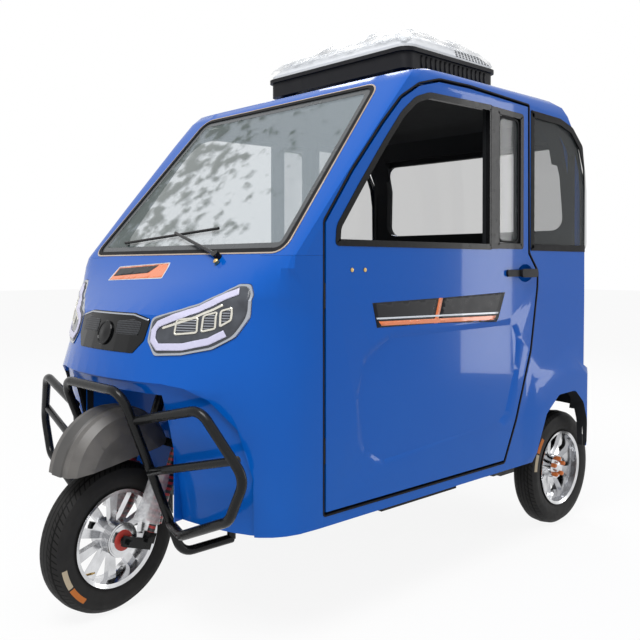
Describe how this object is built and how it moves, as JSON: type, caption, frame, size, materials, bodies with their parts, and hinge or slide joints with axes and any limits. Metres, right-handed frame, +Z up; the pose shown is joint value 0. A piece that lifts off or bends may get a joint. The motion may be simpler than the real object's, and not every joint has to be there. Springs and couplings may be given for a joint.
{
  "type": "enclosed electric tricycle",
  "caption": "Enclosed electric tricycle with a rounded nose, hinged side doors, a raked front fork with a crash bar, cast wheels and a roof cooler.",
  "frame": {"origin": "on the ground below the middle of the bounding box", "axes": "+X is the vehicle's left side, -Y is forward, +Z is up"},
  "size_m": [1.168, 2.1089, 1.8323],
  "materials": {
    "paint": "glossy blue paint",
    "black_frame": "black paint",
    "clear_glass": "clear glass",
    "tinted_glass": "tinted glass",
    "seat": "grey seat cover",
    "black_plastic": "matt black plastic",
    "gloss_black": "glossy black plastic",
    "lamp": "clear lamp cover over silver",
    "red_lamp": "red lamp cover",
    "steel": "steel",
    "alloy": "polished cast alloy",
    "tyre": "black tyre rubber",
    "guard": "dusty dark grey plastic",
    "cooler_white": "white plastic"
  },
  "bodies": {
    "body": {"chassis_frame": "black_frame", "floor_pan": "black_plastic", "front_cowl": "paint", "wheel_well": "paint", "side_frame_left": "paint", "side_frame_right": "paint", "roof_panel": "paint", "rear_panel": "paint", "windscreen": "clear_glass", "rear_glass": "tinted_glass", "quarter_glass_left": "tinted_glass", "quarter_glass_right": "tinted_glass", "driver_seat": "seat", "rear_bench": "seat", "dashboard": "black_plastic", "crash_bar": "black_frame", "headlamp_left": "lamp", "headlamp_right": "lamp", "grille": "gloss_black", "wiper": "black_plastic", "rear_axle": "black_frame", "leaf_springs": "steel", "battery_box": "black_plastic", "door_hinges": "black_frame", "cooler_base": "black_plastic", "cooler_cover": "cooler_white", "tail_lamps": "red_lamp", "rear_bumper": "black_frame"},
    "steering_fork": {"front_fork": "black_frame", "front_shocks": "black_frame", "handlebar": "black_plastic", "mudguard": "guard"},
    "front_wheel": {"front_rim": "alloy", "front_tyre": "tyre"},
    "rear_wheel_left": {"rear_rim_left": "alloy", "rear_tyre_left": "tyre"},
    "rear_wheel_right": {"rear_rim_right": "alloy", "rear_tyre_right": "tyre"},
    "left_door": {"door_left": "paint", "door_glass_left": "tinted_glass", "door_handle_left": "black_plastic"},
    "right_door": {"door_right": "paint", "door_glass_right": "tinted_glass", "door_handle_right": "black_plastic"}
  },
  "joints": [
    {"name": "steering", "type": "hinge", "parent": "body", "child": "steering_fork", "pos_m": [0, -0.80197, 0.20653], "axis": [0, 0.342, 0.9397], "range_deg": [-34, 18]},
    {"name": "front_wheel_spin", "type": "hinge", "parent": "steering_fork", "child": "front_wheel", "pos_m": [0.00487, -0.83454, 0.21838], "axis": [0.9903, 0.1308, -0.0476], "continuous": true},
    {"name": "rear_wheel_left_spin", "type": "hinge", "parent": "body", "child": "rear_wheel_left", "pos_m": [0.467, 0.83914, 0.2185], "axis": [1, 0, 0], "continuous": true},
    {"name": "rear_wheel_right_spin", "type": "hinge", "parent": "body", "child": "rear_wheel_right", "pos_m": [-0.467, 0.83914, 0.2185], "axis": [1, 0, 0], "continuous": true},
    {"name": "left_door_swing", "type": "hinge", "parent": "body", "child": "left_door", "pos_m": [0.562, -0.50086, 0.3], "axis": [0, 0, -1], "range_deg": [0, 70]},
    {"name": "right_door_swing", "type": "hinge", "parent": "body", "child": "right_door", "pos_m": [-0.562, -0.50086, 0.3], "axis": [0, 0, 1], "range_deg": [0, 70]}
  ]
}
